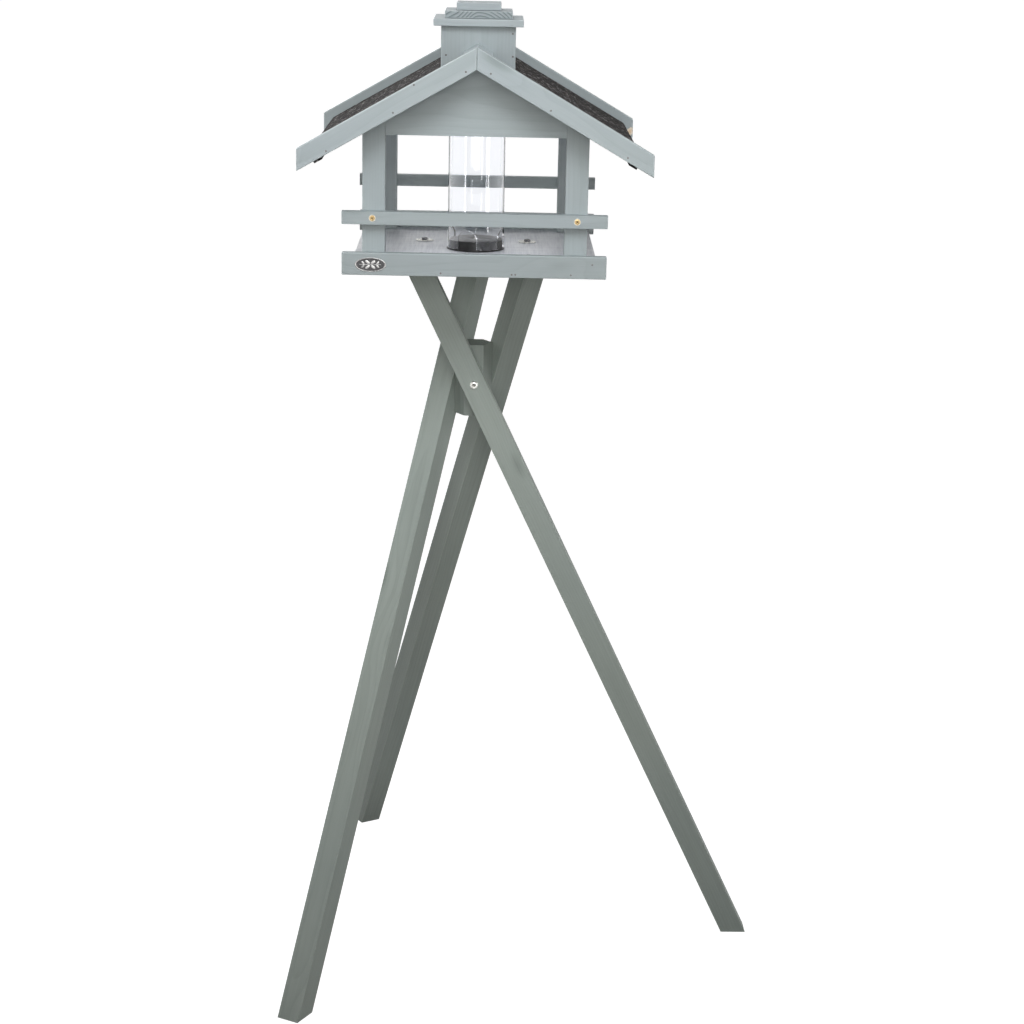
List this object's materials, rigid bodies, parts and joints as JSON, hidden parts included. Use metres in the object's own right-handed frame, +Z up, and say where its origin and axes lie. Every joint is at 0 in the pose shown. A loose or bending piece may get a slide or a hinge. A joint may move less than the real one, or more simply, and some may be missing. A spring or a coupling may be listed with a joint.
{
  "type": "bird feeder on pole",
  "caption": "Wooden bird feeder house with an open tray, felted gable roof, chimney filler lid and clear seed silo, on a stand of three crossed square legs.",
  "frame": {"origin": "middle of the footprint's bounding box, on the ground", "axes": "+Z up, -Y the front of the house, +X to the right seen from the front"},
  "size_m": [0.6454, 0.713, 1.2872],
  "materials": {
    "house_wood": "pale blue-grey stained softwood, fine straight grain",
    "leg_wood": "green-grey stained softwood, a little darker than the house",
    "plywood": "grey-stained plywood, fine streaks",
    "roof_felt": "dark mineral-surfaced roofing felt",
    "clear_acrylic": "clear polished tube",
    "black_plastic": "moulded black plastic",
    "zinc_steel": "bright zinc plate",
    "dark_steel": "darkened steel",
    "brass": "yellow passivated screw",
    "badge_metal": "dark enamel with a bright rim"
  },
  "bodies": {
    "feeder": {"tray_floor": "plywood", "tray_rim_front": "house_wood", "tray_rim_back": "house_wood", "badge_plate": "badge_metal", "post_front_left": "house_wood", "post_front_right": "house_wood", "post_back_left": "house_wood", "post_back_right": "house_wood", "rail_front": "house_wood", "rail_screw_front_left": "brass", "rail_screw_front_right": "brass", "rail_back": "house_wood", "rail_screw_back_left": "brass", "rail_screw_back_right": "brass", "gable_panel_front": "house_wood", "gable_panel_back": "house_wood", "roof_panel_left": "house_wood", "roof_felt_left": "roof_felt", "roof_panel_right": "house_wood", "roof_felt_right": "roof_felt", "bargeboard_front_left": "house_wood", "bargeboard_front_right": "house_wood", "bargeboard_back_left": "house_wood", "bargeboard_back_right": "house_wood", "ridge_cap_front": "house_wood", "ridge_cap_back": "house_wood", "chimney_wall_front": "house_wood", "chimney_wall_back": "house_wood", "chimney_wall_left": "house_wood", "chimney_wall_right": "house_wood", "silo_base": "black_plastic", "silo_base_screw": "zinc_steel", "stand_head_board": "leg_wood", "hub_block": "leg_wood", "leg_front": "leg_wood", "hub_bolt_front": "zinc_steel", "leg_top_screw_front": "zinc_steel", "leg_back_left": "leg_wood", "hub_bolt_back_left": "zinc_steel", "leg_top_screw_back_left": "zinc_steel", "leg_back_right": "leg_wood", "hub_bolt_back_right": "zinc_steel", "leg_top_screw_back_right": "zinc_steel", "floor_washer_front_left": "zinc_steel", "floor_screw_front_left": "dark_steel", "floor_washer_front_right": "zinc_steel", "floor_screw_front_right": "dark_steel", "floor_washer_back_left": "zinc_steel", "floor_screw_back_left": "dark_steel", "floor_washer_back_right": "zinc_steel", "floor_screw_back_right": "dark_steel"},
    "lid": {"lid_locating_block": "house_wood", "lid_plate_bottom": "house_wood", "lid_plate_middle": "house_wood", "lid_plate_top": "house_wood"},
    "silo": {"silo_tube": "clear_acrylic"}
  },
  "joints": [
    {"name": "lid_lift", "type": "slide", "parent": "feeder", "child": "lid", "axis": [0, 0, 1], "range_m": [0, 0.12]},
    {"name": "silo_lift", "type": "slide", "parent": "feeder", "child": "silo", "axis": [0, 0, 1], "range_m": [0, 0.015]}
  ]
}
